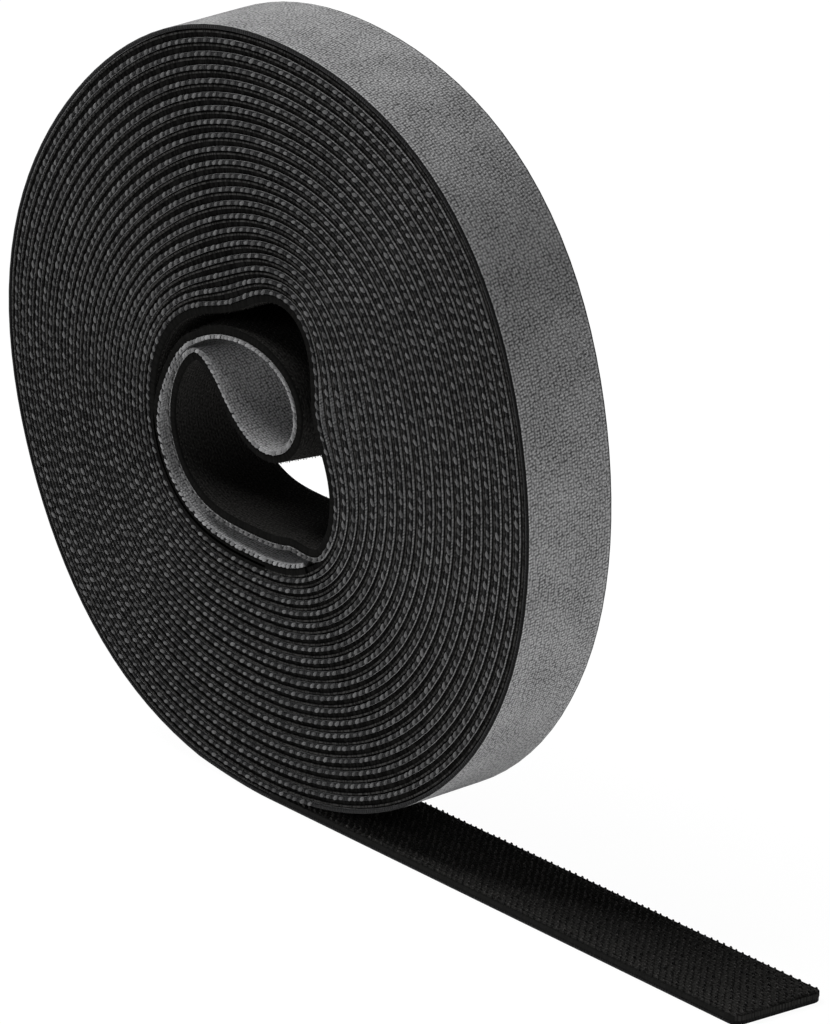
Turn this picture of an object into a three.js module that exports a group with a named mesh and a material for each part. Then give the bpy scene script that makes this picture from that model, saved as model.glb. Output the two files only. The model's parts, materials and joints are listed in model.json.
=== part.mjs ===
// Hook and loop tape roll: one back to back tape wound on itself, with a free tail and a folded inner end.
// Millimetres. +X runs along the tail, +Y along the roll's axis and +Z up; the origin is on the floor.
import * as THREE from 'three';

const TURN = 2 * Math.PI;
const radians = THREE.MathUtils.degToRad;

// The tape: a woven loop web and a hook web, bonded back to back
const TAPE_WIDTH = 15;
const LOOP_WEB = 0.6;
const HOOK_WEB = 0.45;
const BOND_GAP = 0.1;
// Room that the engaged hooks and loops take between two turns
const PILE_ROOM = 0.7;

// The winding, counted outward and counter-clockwise from its innermost point
const BORE_RADIUS = 19.8;
const FULL_TURNS = 20;
const START_ANGLE = radians(-50);
const LEAVE_ANGLE = radians(265);
const STEPS_PER_TURN = 24;
// A hand-wound roll is not round: each lobe is [count round the roll, height, angle of its peak in degrees]
const BORE_LOBES = [[1, 2.8, -135], [2, 1.8, 21], [3, 1.5, -43]];
const INNER_LOBES = [[1, 1.0, -159], [2, 1.6, -76], [3, 0.9, 57], [4, 0.9, -31], [5, 0.3, -1]];
const RIM_LOBES = [[1, 0.6, -26], [2, 1.2, -3], [3, 0.5, -55], [4, 0.4, -38], [5, 0.3, 31], [6, 0.2, -12]];
// Turns over which the innermost lobes die away
const INNER_FADE = 5;

// The inner end: the tape leaves the bore's wall, runs along it as a strand to a pinch, opens there in
// a folded loop and comes back between the strand and the wall. Angles count from the winding's start
const DRAW_IN_FROM = radians(2);
const DRAW_IN_TO = radians(-18);
const DRAW_IN_STEPS = 4;
const CUT_END = radians(-17);
const LEAVE_WALL = radians(-112);
const WALL_STEPS = 8;
const END_CLEARANCE = 0.65;
const STRAND_CLEARANCE = 1.85;
const PINCH_ANGLE = radians(153.5);
const PINCH_DISTANCE = 5.5;
const PINCH_HEADING = radians(25);
const PINCH_GAP = 0.5;
const HUMP_RISE = 5;
const HUMP_LEAD = 4;
const HUMP_STEPS = 8;
const FOLD_TILT = radians(-20);
const FOLD_BOW = 6.9;
const FOLD_WIDTH = 12.4;
const FOLD_ROUNDNESS = 2.9;
const FOLD_CLEARANCE = 6;
const FOLD_STEPS = 24;
const FOLD_HINGE_GAP = 0.8;

// The tail: a flat root that the roll stands on, then equal links that bend at their joints
const ROOT_REACH = 10;
const TAIL_LINKS = 6;
const LINK_PITCH = 15;
const LINK_GAP = 0.4;

// Sizes that follow
const TURNS = FULL_TURNS + (LEAVE_ANGLE - START_ANGLE) / TURN;
const PITCH = LOOP_WEB + BOND_GAP + HOOK_WEB + PILE_ROOM;
const LOOP_SIDE = [BOND_GAP / 2, BOND_GAP / 2 + LOOP_WEB];
const HOOK_SIDE = [-BOND_GAP / 2 - HOOK_WEB, -BOND_GAP / 2];
const FLOOR_TO_BOND = LOOP_WEB + BOND_GAP / 2;
const PINCH_HALF = PINCH_GAP / 2 + LOOP_WEB + BOND_GAP / 2;
const WALL_TO_END = 2 * HOOK_WEB + BOND_GAP + END_CLEARANCE;
const WALL_TO_STRAND = WALL_TO_END + 2 * LOOP_WEB + BOND_GAP + STRAND_CLEARANCE;

const loopFinish = new THREE.MeshStandardMaterial({ color: 0x6c6d70, roughness: 0.95, metalness: 0 });
const hookFinish = new THREE.MeshStandardMaterial({ color: 0x1b1b1d, roughness: 0.6, metalness: 0 });

function lobeSum(lobes, angle) {
  const heights = lobes.map(([count, height, peak]) => height * Math.cos(count * (angle - radians(peak))));
  return heights.reduce((sum, height) => sum + height, 0);
}

// Radius of the bond line, the given number of turns out from the winding's start
function turnRadius(turns) {
  const angle = START_ANGLE + TURN * turns;
  const share = turns / TURNS;
  const slow = lobeSum(BORE_LOBES, angle) * (1 - share) + lobeSum(RIM_LOBES, angle) * share;
  return BORE_RADIUS + PITCH * turns + slow + lobeSum(INNER_LOBES, angle) * Math.exp(-turns / INNER_FADE);
}

function polar(radius, angle) {
  return new THREE.Vector2(radius * Math.cos(angle), radius * Math.sin(angle));
}

// A point of the winding, drawn in towards the bore where the inner end needs room behind it
function turnPoint(turns, drawnIn = 0) {
  return polar(turnRadius(turns) - drawnIn, START_ANGLE + TURN * turns);
}

// Radius of the wall round the bore, at the innermost turn's bond line
function wallRadius(angle) {
  const past = (((angle - START_ANGLE) % TURN) + TURN) % TURN;
  return turnRadius(past / TURN);
}

// A point at a distance in from the wall, at an angle from the winding's start
function wallPoint(angle, distance) {
  return polar(wallRadius(START_ANGLE + angle) - distance, START_ANGLE + angle);
}

function leftNormal(from, to) {
  return new THREE.Vector2(from.y - to.y, to.x - from.x).normalize();
}

// Normals to the left of an open route, lengthened at its corners so that offsets keep their distance
function routeNormals(route) {
  return route.map((point, index) => {
    const before = index > 0 ? leftNormal(route[index - 1], point) : leftNormal(point, route[index + 1]);
    const after = index < route.length - 1 ? leftNormal(point, route[index + 1]) : before;
    const mean = before.clone().add(after).normalize();
    return mean.divideScalar(mean.dot(after));
  });
}

function offsetRoute(route, distance) {
  const normals = routeNormals(route);
  return route.map((point, index) => point.clone().addScaledVector(normals[index], distance));
}

// One layer of the inner end: along the wall, then over a hump to its own side of the pinch
function layerRoute(from, distance, pinch, heading, aside) {
  const route = [];
  for (let step = 0; step <= WALL_STEPS; step += 1) {
    route.push(wallPoint(THREE.MathUtils.lerp(from, LEAVE_WALL, step / WALL_STEPS), distance));
  }
  const leave = route[WALL_STEPS];
  const along = wallPoint(LEAVE_WALL - radians(1), distance).sub(leave).normalize();
  const left = new THREE.Vector2(-heading.y, heading.x);
  const end = pinch.clone().addScaledVector(heading, -FOLD_HINGE_GAP / 2).addScaledVector(left, aside);
  const hump = new THREE.CubicBezierCurve(
    leave,
    leave.clone().addScaledVector(along, HUMP_RISE),
    end.clone().addScaledVector(heading, -HUMP_LEAD),
    end,
  );
  return route.concat(hump.getPoints(HUMP_STEPS).slice(1));
}

// Distance from the pinch to the hooks on the wall across the bore
function reachAcross(pinch, axis) {
  const step = 0.05;
  let reach = 0;
  let point = pinch.clone();
  while (point.length() < wallRadius(point.angle()) + HOOK_SIDE[0]) {
    reach += step;
    point = pinch.clone().addScaledVector(axis, reach);
  }
  return reach;
}

// The open fold: a teardrop about a bowed spine, which starts and ends at the pinch
function foldRoute(pinch, heading) {
  const axis = polar(1, FOLD_TILT);
  const start = pinch.clone().addScaledVector(heading, FOLD_HINGE_GAP / 2);
  const length = reachAcross(start, axis) - FOLD_CLEARANCE - PINCH_HALF - BOND_GAP / 2 - HOOK_WEB;
  const bow = start.clone().addScaledVector(heading, FOLD_BOW);
  const spine = new THREE.QuadraticBezierCurve(start, bow, start.clone().addScaledVector(axis, length));
  const widest = Math.sqrt((1 + FOLD_ROUNDNESS) / (2 + FOLD_ROUNDNESS));
  const fullness = 2 * widest ** (1 + FOLD_ROUNDNESS) * Math.sqrt(1 - widest ** 2);
  const route = [];
  for (let step = 0; step <= FOLD_STEPS; step += 1) {
    const phase = (TURN * step) / FOLD_STEPS;
    const share = (1 - Math.cos(phase)) / 2;
    const swell = Math.sin(phase) * Math.sin(phase / 2) ** FOLD_ROUNDNESS;
    const along = spine.getTangent(share);
    const across = new THREE.Vector2(-along.y, along.x);
    route.push(spine.getPoint(share).addScaledVector(across, (-FOLD_WIDTH / 2) * (swell / fullness)));
  }
  return offsetRoute(route, -PINCH_HALF);
}

// The wound tape, from the front of the tail's root to the pinch, on which it ends
function rollRoute(strand) {
  const foot = turnPoint(TURNS);
  const route = [new THREE.Vector2(ROOT_REACH - LINK_GAP / 2, foot.y), foot];
  const firstStep = Math.ceil(TURNS * STEPS_PER_TURN - 0.5) - 1;
  for (let step = firstStep; TURN * step > DRAW_IN_FROM * STEPS_PER_TURN; step -= 1) {
    route.push(turnPoint(step / STEPS_PER_TURN));
  }
  for (let step = 0; step < DRAW_IN_STEPS; step += 1) {
    const share = step / DRAW_IN_STEPS;
    const angle = THREE.MathUtils.lerp(DRAW_IN_FROM, DRAW_IN_TO, share);
    const turns = angle / TURN;
    const drawn = turnRadius(turns) - wallPoint(angle, WALL_TO_STRAND).length();
    route.push(turnPoint(turns, drawn * THREE.MathUtils.smoothstep(share, 0, 1)));
  }
  return route.concat(strand);
}

// A closed strip along a route, between two offsets to its left
function stripGeometry(route, [near, far]) {
  const normals = routeNormals(route);
  const half = TAPE_WIDTH / 2;
  const corners = [[near, -half], [far, -half], [far, half], [near, half]];
  const positions = [];
  const faces = [];
  route.forEach((point, index) => {
    corners.forEach(([offset, y]) => {
      const corner = point.clone().addScaledVector(normals[index], offset);
      positions.push(corner.x, y, corner.y);
    });
  });
  for (let index = 0; index < route.length - 1; index += 1) {
    for (let side = 0; side < corners.length; side += 1) {
      const a = index * corners.length + side;
      const b = index * corners.length + ((side + 1) % corners.length);
      faces.push(a, a + corners.length, b + corners.length, a, b + corners.length, b);
    }
  }
  const last = (route.length - 1) * corners.length;
  faces.push(0, 1, 2, 0, 2, 3, last, last + 2, last + 1, last, last + 3, last + 2);
  const geometry = new THREE.BufferGeometry();
  geometry.setAttribute('position', new THREE.Float32BufferAttribute(positions, 3));
  geometry.setIndex(faces);
  geometry.computeVertexNormals();
  return geometry;
}

// Least gap between two stretches of one web that lie at least a third of a turn apart
function leastGap(route, thickness) {
  const apart = STEPS_PER_TURN / 3;
  let least = Infinity;
  for (let first = 0; first < route.length; first += 1) {
    for (let second = first + apart; second < route.length; second += 1) {
      least = Math.min(least, route[first].distanceTo(route[second]) - thickness);
    }
  }
  return least;
}

function addWebs(part, name, suffix, route) {
  const loop = new THREE.Mesh(stripGeometry(route, LOOP_SIDE), loopFinish);
  loop.name = `${name}_loop_web${suffix}`;
  const hook = new THREE.Mesh(stripGeometry(route, HOOK_SIDE), hookFinish);
  hook.name = `${name}_hook_web${suffix}`;
  part.add(loop, hook);
}

function addTail(part) {
  for (let link = 0; link < TAIL_LINKS; link += 1) {
    const from = ROOT_REACH + link * LINK_PITCH + LINK_GAP / 2;
    const to = from + LINK_PITCH - LINK_GAP;
    const route = [new THREE.Vector2(to, FLOOR_TO_BOND), new THREE.Vector2(from, FLOOR_TO_BOND)];
    addWebs(part, 'tail', `_${link + 1}`, route);
  }
}

function buildPart() {
  const part = new THREE.Group();
  part.name = 'hook_and_loop_tape_roll';
  const centre = new THREE.Vector2(0, FLOOR_TO_BOND - turnPoint(TURNS).y);
  const heading = polar(1, PINCH_HEADING);
  const pinch = polar(wallRadius(PINCH_ANGLE) - PINCH_DISTANCE, PINCH_ANGLE);
  const routes = {
    roll: rollRoute(layerRoute(DRAW_IN_TO, WALL_TO_STRAND, pinch, heading, -PINCH_HALF)),
    fold: foldRoute(pinch, heading),
    inner_end: layerRoute(CUT_END, WALL_TO_END, pinch, heading, PINCH_HALF).reverse(),
  };
  Object.entries(routes).forEach(([name, route]) => {
    addWebs(part, name, '', route.map((point) => point.clone().add(centre)));
  });
  addTail(part);
  const loopGap = leastGap(offsetRoute(routes.roll, (LOOP_SIDE[0] + LOOP_SIDE[1]) / 2), LOOP_WEB);
  const hookGap = leastGap(offsetRoute(routes.roll, (HOOK_SIDE[0] + HOOK_SIDE[1]) / 2), HOOK_WEB);
  console.log(`least gap of the wound loop web to itself ${loopGap.toFixed(2)} mm`);
  console.log(`least gap of the wound hook web to itself ${hookGap.toFixed(2)} mm`);
  return part;
}

export default buildPart();
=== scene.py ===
"""Dresses the hook and loop tape roll: woven loop web, hook web, selvedges and hooks, in studio light."""
import json
import logging
import math
from dataclasses import dataclass, field
from enum import Enum, IntEnum
from typing import Any, Callable, Union

import bmesh
import bpy
import numpy as np
from mathutils import Matrix, Vector

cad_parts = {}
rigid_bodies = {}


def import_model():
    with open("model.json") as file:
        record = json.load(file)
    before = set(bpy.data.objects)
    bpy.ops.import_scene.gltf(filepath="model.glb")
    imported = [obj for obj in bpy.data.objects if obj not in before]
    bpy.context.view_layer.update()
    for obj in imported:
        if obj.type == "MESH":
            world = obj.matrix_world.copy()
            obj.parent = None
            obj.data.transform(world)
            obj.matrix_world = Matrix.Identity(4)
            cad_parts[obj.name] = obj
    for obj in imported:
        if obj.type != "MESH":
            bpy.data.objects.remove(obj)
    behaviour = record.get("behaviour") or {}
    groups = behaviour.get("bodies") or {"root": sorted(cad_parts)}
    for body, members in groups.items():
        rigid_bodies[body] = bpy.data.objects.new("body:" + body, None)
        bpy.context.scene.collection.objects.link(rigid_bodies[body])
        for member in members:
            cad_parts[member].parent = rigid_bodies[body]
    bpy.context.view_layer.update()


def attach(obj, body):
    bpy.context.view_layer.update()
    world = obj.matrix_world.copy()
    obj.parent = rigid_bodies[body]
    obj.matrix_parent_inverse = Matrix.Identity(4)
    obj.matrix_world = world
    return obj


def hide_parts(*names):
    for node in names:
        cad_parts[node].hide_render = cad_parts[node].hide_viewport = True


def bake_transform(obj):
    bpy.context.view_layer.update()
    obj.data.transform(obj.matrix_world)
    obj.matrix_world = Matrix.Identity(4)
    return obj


for leftover in list(bpy.data.objects):
    bpy.data.objects.remove(leftover)
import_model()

MM = 0.001
TURN = 360.0
WHITE = (1.0, 1.0, 1.0, 1.0)
LOG = logging.getLogger("tape_roll")

Lobe = tuple[int, float, float]
Span = tuple[float, float]
Colour = tuple[float, float, float]
Place = tuple[float, float, float]
RadiusAt = Callable[[np.ndarray | float], np.ndarray]
Value = Union["Term", float, int, tuple[float, ...], bpy.types.NodeSocket]


class Edge(Enum):
    """The two long edges of the tape, by the side of the roll that they lie on."""

    NEAR = -1
    FAR = 1


class Web(Enum):
    """The two webs of the tape, with the record's slot for each."""

    LOOP = "loop_web"
    HOOK = "hook_web"


class Ground(Enum):
    """Looks of the hook web, by where it lies, with light and shade painted into them."""

    BORE = "hook_ground"
    PACKED = "packed_ground"
    # the tail's copy is lighter: painted light
    TAIL = "tail_ground"


class Seed(IntEnum):
    """Seeds of the random draws, one for each thing that varies."""

    KNOT_SLIP = 2
    KNOT_TILT = 3
    KNOT_SIZE = 5
    KNOT_SHADE = 7
    HOOK_SLIP = 9
    HOOK_SWING = 11
    HOOK_SIZE = 13
    HOOK_SHADE = 17


class Term:
    """One value in a node tree, on which plain arithmetic makes Math nodes."""

    def __init__(self, graph: "Graph", socket: bpy.types.NodeSocket) -> None:
        """Keeps the socket and the graph that it belongs to."""
        self.graph = graph
        self.socket = socket

    def __add__(self, other: Value) -> "Term":
        """Sum of two values."""
        return self.graph.math("ADD", self, other)

    def __sub__(self, other: Value) -> "Term":
        """This value less another."""
        return self.graph.math("SUBTRACT", self, other)

    def __mul__(self, other: Value) -> "Term":
        """Product of two values."""
        return self.graph.math("MULTIPLY", self, other)

    def __truediv__(self, other: Value) -> "Term":
        """This value over another."""
        return self.graph.math("DIVIDE", self, other)

    def __neg__(self) -> "Term":
        """This value with its sign turned."""
        return self.graph.math("MULTIPLY", self, -1.0)

    def __radd__(self, other: Value) -> "Term":
        """Sum with a plain number on the left."""
        return self.graph.math("ADD", other, self)

    def __rsub__(self, other: Value) -> "Term":
        """A plain number less this value."""
        return self.graph.math("SUBTRACT", other, self)

    def __rmul__(self, other: Value) -> "Term":
        """Product with a plain number on the left."""
        return self.graph.math("MULTIPLY", other, self)

    def __rtruediv__(self, other: Value) -> "Term":
        """A plain number over this value."""
        return self.graph.math("DIVIDE", other, self)


class Graph:
    """A node tree that is written as expressions."""

    def __init__(self, tree: bpy.types.NodeTree) -> None:
        """Keeps the tree that the nodes go into."""
        self.tree = tree

    def feed(self, socket: bpy.types.NodeSocket, value: Value) -> None:
        """Links a value to a socket, or sets it there when it is a plain one.

        Args:
            socket: The input socket.
            value: A term, an output socket or a plain value.
        """
        if isinstance(value, Term):
            self.tree.links.new(value.socket, socket)
        elif isinstance(value, bpy.types.NodeSocket):
            self.tree.links.new(value, socket)
        else:
            socket.default_value = value

    def node(
        self,
        kind: str,
        settings: dict[str, Any] | None = None,
        sockets: dict[str | int, Value] | None = None,
    ) -> bpy.types.Node:
        """Adds a node.

        Args:
            kind: The node's type name.
            settings: Its properties, which are set before its sockets.
            sockets: Values for its inputs, by name or by place.

        Returns:
            The node.
        """
        made = self.tree.nodes.new(kind)
        for name, value in (settings or {}).items():
            setattr(made, name, value)
        for key, value in (sockets or {}).items():
            self.feed(made.inputs[key], value)
        return made

    def term(
        self,
        kind: str,
        settings: dict[str, Any] | None = None,
        sockets: dict[str | int, Value] | None = None,
        output: str | int = 0,
    ) -> Term:
        """Adds a node and gives one of its outputs.

        Args:
            kind: The node's type name.
            settings: Its properties.
            sockets: Values for its inputs.
            output: The output, by name or by place.

        Returns:
            That output as a term.
        """
        return Term(self, self.node(kind, settings, sockets).outputs[output])

    def math(self, operation: str, *values: Value) -> Term:
        """One Math node on up to three values."""
        return self.term("ShaderNodeMath", {"operation": operation}, dict(enumerate(values)))

    def cos(self, angle: Value) -> Term:
        """Cosine of an angle in radians."""
        return self.math("COSINE", angle)

    def sin(self, angle: Value) -> Term:
        """Sine of an angle in radians."""
        return self.math("SINE", angle)

    def wave(self, angle: Value) -> Term:
        """Sine of an angle in radians, brought between 0 and 1."""
        return self.sin(angle) * 0.5 + 0.5

    def ramp(self, value: Value, low: float, high: float) -> Term:
        """Smooth step of a value, from 0 at low to 1 at high."""
        settings = {"interpolation_type": "SMOOTHSTEP"}
        return self.term("ShaderNodeMapRange", settings, {"Value": value, "From Min": low, "From Max": high})

    def mixed(self, factor: Value, first: Value, second: Value) -> Term:
        """Colour between two by a factor, with the node's colour sockets taken by place."""
        return self.term("ShaderNodeMix", {"data_type": "RGBA"}, {0: factor, 6: first, 7: second}, output=2)

    def vector(self, x: Value = 0.0, y: Value = 0.0, z: Value = 0.0) -> Term:
        """Three values as one vector."""
        return self.term("ShaderNodeCombineXYZ", None, {"X": x, "Y": y, "Z": z})

    def scaled(self, vector: Value, factor: Value) -> Term:
        """A vector times a number."""
        return self.term("ShaderNodeVectorMath", {"operation": "SCALE"}, {0: vector, "Scale": factor})

    def summed(self, first: Value, second: Value) -> Term:
        """Sum of two vectors."""
        return self.term("ShaderNodeVectorMath", {"operation": "ADD"}, {0: first, 1: second})


class Shape(Graph):
    """A Geometry Nodes tree that is built once and baked to plain meshes."""

    KINDS = {
        float: "NodeSocketFloat",
        int: "NodeSocketInt",
        bpy.types.Material: "NodeSocketMaterial",
    }

    def __init__(self, name: str, **kinds: type) -> None:
        """Opens a tree with a mesh input and named inputs for its sizes.

        Args:
            name: The tree's name.
            **kinds: The type of each input, by its name with underscores for spaces.
        """
        super().__init__(bpy.data.node_groups.new(name, "GeometryNodeTree"))
        face = self.tree.interface
        face.new_socket("Geometry", in_out="INPUT", socket_type="NodeSocketGeometry")
        face.new_socket("Geometry", in_out="OUTPUT", socket_type="NodeSocketGeometry")
        self.keys: dict[str, str] = {}
        for key, kind in kinds.items():
            title = key.replace("_", " ").title()
            socket = face.new_socket(title, in_out="INPUT", socket_type=self.KINDS[kind])
            self.keys[key] = socket.identifier
        self.entry = self.tree.nodes.new("NodeGroupInput")

    def size(self, key: str) -> Term:
        """One of the tree's named inputs."""
        return Term(self, self.entry.outputs[key.replace("_", " ").title()])

    def start(self) -> Term:
        """The mesh that the tree works on."""
        return Term(self, self.entry.outputs["Geometry"])

    def stored(self, name: str, kind: str) -> Term:
        """A named attribute of the geometry at hand."""
        return self.term("GeometryNodeInputNamedAttribute", {"data_type": kind}, {"Name": name})

    def store(self, geometry: Value, name: str, value: Value, kind: str, domain: str = "POINT") -> Term:
        """Stores a named attribute on a geometry.

        Args:
            geometry: What carries it.
            name: The attribute's name.
            value: Its value.
            kind: Its data type.
            domain: Where it is stored.

        Returns:
            The geometry with the attribute.
        """
        settings = {"data_type": kind, "domain": domain}
        sockets = {"Geometry": geometry, "Name": name, "Value": value}
        return self.term("GeometryNodeStoreNamedAttribute", settings, sockets)

    def close(self, geometry: Value, finish: bool = True) -> None:
        """Ends the tree, in Realize Instances and Set Material where it has a finish."""
        if finish:
            real = self.term("GeometryNodeRealizeInstances", None, {"Geometry": geometry})
            sockets = {"Geometry": real, "Material": self.size("finish")}
            geometry = self.term("GeometryNodeSetMaterial", None, sockets)
        self.node("NodeGroupOutput", None, {0: geometry})

    def bake(self, name: str, mesh: bpy.types.Mesh, **sizes: Any) -> bpy.types.Object:
        """Runs the tree on a mesh.

        Args:
            name: The new object's name.
            mesh: The mesh that the tree starts from.
            **sizes: A value for each of the tree's inputs.

        Returns:
            An object with the result as a plain mesh and no modifier.
        """
        made = bpy.data.objects.new(name, mesh)
        bpy.context.scene.collection.objects.link(made)
        modifier = made.modifiers.new("shape", "NODES")
        modifier.node_group = self.tree
        for key, value in sizes.items():
            modifier[self.keys[key]] = value
        graph = bpy.context.evaluated_depsgraph_get()
        baked = bpy.data.meshes.new_from_object(
            made.evaluated_get(graph), preserve_all_data_layers=True, depsgraph=graph
        )
        made.modifiers.clear()
        made.data = baked
        baked.name = name
        bpy.data.meshes.remove(mesh)
        return made


@dataclass(frozen=True)
class Tape:
    """Section of the back to back tape, in millimetres, with heights from the bond line towards the loops."""

    width: float = 15.0
    loop_web: float = 0.6
    hook_web: float = 0.45
    bond_gap: float = 0.1
    pile_room: float = 0.7
    corner: float = 0.2

    @property
    def pitch(self) -> float:
        """Distance from one turn to the next."""
        return self.loop_web + self.bond_gap + self.hook_web + self.pile_room

    @property
    def loop_middle(self) -> float:
        """Middle of the loop web."""
        return (self.bond_gap + self.loop_web) / 2

    @property
    def hook_face(self) -> float:
        """Face that the hooks stand on."""
        return -(self.bond_gap / 2 + self.hook_web)

    @property
    def floor_to_bond(self) -> float:
        """Height of the bond line where the tape lies flat."""
        return self.loop_web + self.bond_gap / 2

    def hook_layer(self, pile: float) -> Span:
        """Thickness and middle of the hook web with its pile, from the loop web to the pile's top."""
        return self.bond_gap + self.hook_web + pile, (self.bond_gap / 2 + self.hook_face - pile) / 2

    def rounding(self, thickness: float) -> float:
        """Radius of a strip's corners, at most a third of its thickness."""
        return min(self.corner, thickness / 3)


@dataclass(frozen=True)
class Winding:
    """The wound turns, counted outward and counter-clockwise from the innermost point.

    A lobe is its count round the roll, its height in millimetres and the angle of its peak in degrees.
    """

    bore_radius: float = 19.8
    full_turns: int = 20
    start_angle: float = -50.0
    leave_angle: float = 265.0
    steps_per_turn: int = 112
    lead_in: float = 0.12
    rim_lean: float = 0.085
    rim_lean_peak: float = 60.0
    inner_fade: float = 5.0
    bore_lobes: tuple[Lobe, ...] = ((1, 2.8, -135), (2, 1.8, 21), (3, 1.5, -43))
    inner_lobes: tuple[Lobe, ...] = (
        (1, 1.0, -159), (2, 1.6, -76), (3, 0.9, 57), (4, 0.9, -31), (5, 0.3, -1)
    )
    rim_lobes: tuple[Lobe, ...] = (
        (1, 0.6, -26), (2, 1.2, -3), (3, 0.5, -55), (4, 0.4, -38), (5, 0.3, 31), (6, 0.2, -12)
    )

    @property
    def turns(self) -> float:
        """Number of turns from the innermost point to the foot."""
        return self.full_turns + (self.leave_angle - self.start_angle) / TURN

    def lean_at(self, turns: np.ndarray) -> np.ndarray:
        """How far the far edge leans outward at each number of turns, for a unit of width."""
        from_peak = np.radians(self.start_angle + TURN * turns - self.rim_lean_peak)
        return self.rim_lean * (turns / self.turns) ** 2 * np.maximum(np.cos(from_peak), 0)

    def rule(self) -> Shape:
        """Builds the tree that lays the bond line's points from the foot inward.

        Returns:
            The tree, without a finish.
        """
        tree = Shape("winding", bore_radius=float, pitch=float, turns=float, steps_per_turn=int,
                     start_angle=float, inner_fade=float, points=int)
        index = tree.term("GeometryNodeInputIndex")
        turns = tree.size("turns") - index / tree.size("steps_per_turn")
        angle = tree.size("start_angle") + turns * math.tau

        def lobes(group: tuple[Lobe, ...]) -> Term:
            """Sum of a group of lobes round the roll."""
            total = None
            for count, height, peak in group:
                lobe = tree.cos((angle - math.radians(peak)) * count) * (height * MM)
                total = lobe if total is None else total + lobe
            return total

        share = turns / tree.size("turns")
        slow = lobes(self.bore_lobes) * (1 - share) + lobes(self.rim_lobes) * share
        fast = lobes(self.inner_lobes) * tree.math("EXPONENT", -(turns / tree.size("inner_fade")))
        radius = tree.size("bore_radius") + tree.size("pitch") * turns + slow + fast
        line = tree.term("GeometryNodeMeshLine", None, {"Count": tree.size("points")})
        place = tree.vector(radius * tree.cos(angle), 0.0, radius * tree.sin(angle))
        laid = tree.term("GeometryNodeSetPosition", None, {"Geometry": line, "Position": place})
        tree.close(laid, finish=False)
        return tree

    def lay(self, tape: Tape) -> np.ndarray:
        """Runs the rule and reads its points.

        Args:
            tape: The tape that is wound.

        Returns:
            The bond line from the foot inward, as rows of x and z in millimetres about the axis.
        """
        line = self.rule().bake(
            "winding_line", bpy.data.meshes.new("winding_line"),
            bore_radius=self.bore_radius * MM, pitch=tape.pitch * MM, turns=self.turns,
            steps_per_turn=self.steps_per_turn, start_angle=math.radians(self.start_angle),
            inner_fade=self.inner_fade, points=int((self.turns + self.lead_in) * self.steps_per_turn) + 1,
        )
        places = np.zeros(len(line.data.vertices) * 3)
        line.data.vertices.foreach_get("co", places)
        bpy.data.objects.remove(line)
        return places.reshape(-1, 3)[:, [0, 2]] / MM


def polar(radius: np.ndarray | float, degrees: np.ndarray | float) -> np.ndarray:
    """Points at radii and angles about the roll's axis."""
    angle = np.radians(degrees)
    return np.stack([radius * np.cos(angle), radius * np.sin(angle)], -1)


def bezier(points: list[np.ndarray], shares: np.ndarray) -> np.ndarray:
    """Points of a Bezier curve, by repeated division between its handles.

    Args:
        points: The end points and handles, in order.
        shares: Where on the curve, from 0 to 1.

    Returns:
        One row for each share.
    """
    rows = [np.broadcast_to(point, (len(shares), 2)) for point in points]
    weight = shares[:, None]
    while len(rows) > 1:
        rows = [first + (second - first) * weight for first, second in zip(rows, rows[1:])]
    return rows[0]


def smoothstep(share: np.ndarray) -> np.ndarray:
    """Smooth step of a share, held between 0 and 1."""
    held = np.clip(share, 0, 1)
    return held * held * (3 - 2 * held)


def fade(share: np.ndarray, span: Span) -> np.ndarray:
    """Smooth step of a share, from 0 at a span's start to 1 at its end."""
    return smoothstep((share - span[0]) / (span[1] - span[0]))


def travelled(route: np.ndarray) -> np.ndarray:
    """Distance from a route's start to each of its points."""
    return np.cumsum(np.linalg.norm(np.diff(route, axis=0, prepend=route[:1]), axis=1))


def left_of(route: np.ndarray) -> np.ndarray:
    """Unit normals to the left of a route."""
    along = np.gradient(route, axis=0)
    along /= np.linalg.norm(along, axis=1)[:, None]
    return np.stack([-along[:, 1], along[:, 0]], 1)


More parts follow.
